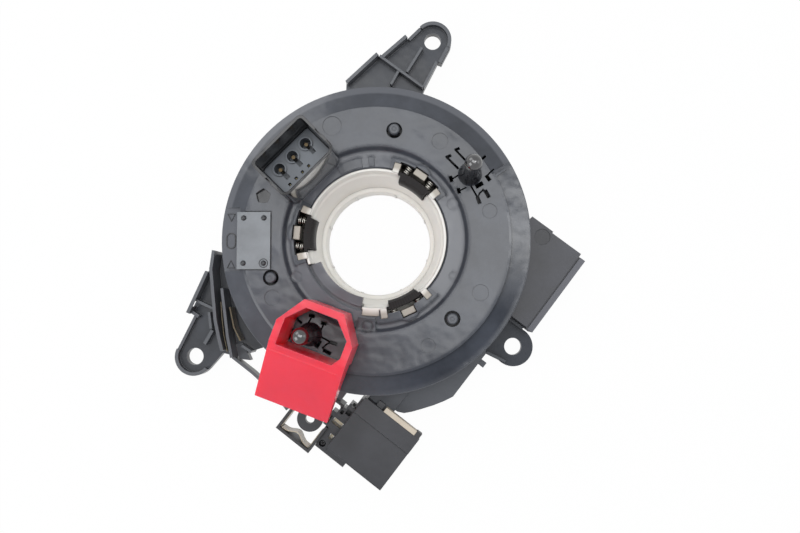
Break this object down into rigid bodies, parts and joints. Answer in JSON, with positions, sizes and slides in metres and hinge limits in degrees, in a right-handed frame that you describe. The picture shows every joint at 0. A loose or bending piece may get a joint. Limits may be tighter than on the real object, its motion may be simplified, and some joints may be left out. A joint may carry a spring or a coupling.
{
  "type": "steering clock spring",
  "caption": "Rotary ribbon-cable connector for a steering column: a rotor disc with plug shroud and drive posts turns in a drum housing with ears, side connectors and a red transport lock.",
  "frame": {"origin": "on the bore's axis, at the back end of the bore", "axes": "+Z along the bore towards the steering wheel, +Y towards the upper ear, +X to the right as seen from the wheel"},
  "size_m": [0.1529, 0.1755, 0.0488],
  "materials": {
    "housing_plastic": "satin black moulded plastic",
    "rotor_plastic": "satin black moulded plastic",
    "dark_plastic": "matt black moulded plastic",
    "ribbon": "amber polyester film over copper",
    "tan_plastic": "pale tan strip",
    "hub_white": "off-white slippery plastic",
    "insert_blue": "blue-grey plastic",
    "contacts": "bright plated contacts",
    "plate_grey": "satin",
    "rivet_grey": "satin",
    "jaw_black": "satin",
    "spring_steel": "bright wire",
    "lock_red": "semi-gloss red moulded plastic"
  },
  "bodies": {
    "housing": {"stator_housing": "housing_plastic", "back_cover": "housing_plastic", "flat_cable": "ribbon", "outer_cable_clip": "dark_plastic", "cable_tail": "ribbon", "right_connector": "housing_plastic", "right_connector_pins": "contacts", "bottom_connector": "housing_plastic", "bottom_connector_lid": "housing_plastic", "bottom_connector_pins": "contacts", "contact_strip": "tan_plastic", "contact_strip_stop": "dark_plastic", "bracket_frame": "dark_plastic", "eyelet": "dark_plastic"},
    "rotor": {"rotor_cover": "rotor_plastic", "spool_drum": "dark_plastic", "hub_ring": "hub_white", "inner_cable_clip": "dark_plastic", "connector_insert": "insert_blue", "airbag_pins": "contacts", "switch_pins": "contacts", "index_plate": "plate_grey", "index_rivets": "rivet_grey", "jaw_springs_1": "spring_steel", "jaw_springs_2": "spring_steel", "jaw_springs_3": "spring_steel"},
    "jaw_1": {"jaw_1": "jaw_black"},
    "jaw_2": {"jaw_2": "jaw_black"},
    "jaw_3": {"jaw_3": "jaw_black"},
    "lock": {"transport_lock": "lock_red"}
  },
  "joints": [
    {"name": "rotor_turn", "type": "hinge", "parent": "housing", "child": "rotor", "pos_m": [0, 0, 0.01], "axis": [0, 0, 1], "range_deg": [-900, 900], "deforming": ["flat_cable"]},
    {"name": "jaw_1_press", "type": "slide", "parent": "rotor", "child": "jaw_1", "axis": [0.5736, 0.8192, 0], "range_m": [0, 0.001], "stiffness_N_per_m": 2000, "springref_m": -0.0005, "deforming": ["jaw_springs_1"]},
    {"name": "jaw_2_press", "type": "slide", "parent": "rotor", "child": "jaw_2", "axis": [-0.9962, 0.0872, 0], "range_m": [0, 0.001], "stiffness_N_per_m": 2000, "springref_m": -0.0005, "deforming": ["jaw_springs_2"]},
    {"name": "jaw_3_press", "type": "slide", "parent": "rotor", "child": "jaw_3", "axis": [0.4226, -0.9063, 0], "range_m": [0, 0.001], "stiffness_N_per_m": 2000, "springref_m": -0.0005, "deforming": ["jaw_springs_3"]},
    {"name": "lock_lift", "type": "slide", "parent": "rotor", "child": "lock", "axis": [0, 0, 1], "range_m": [0, 0.03]}
  ]
}
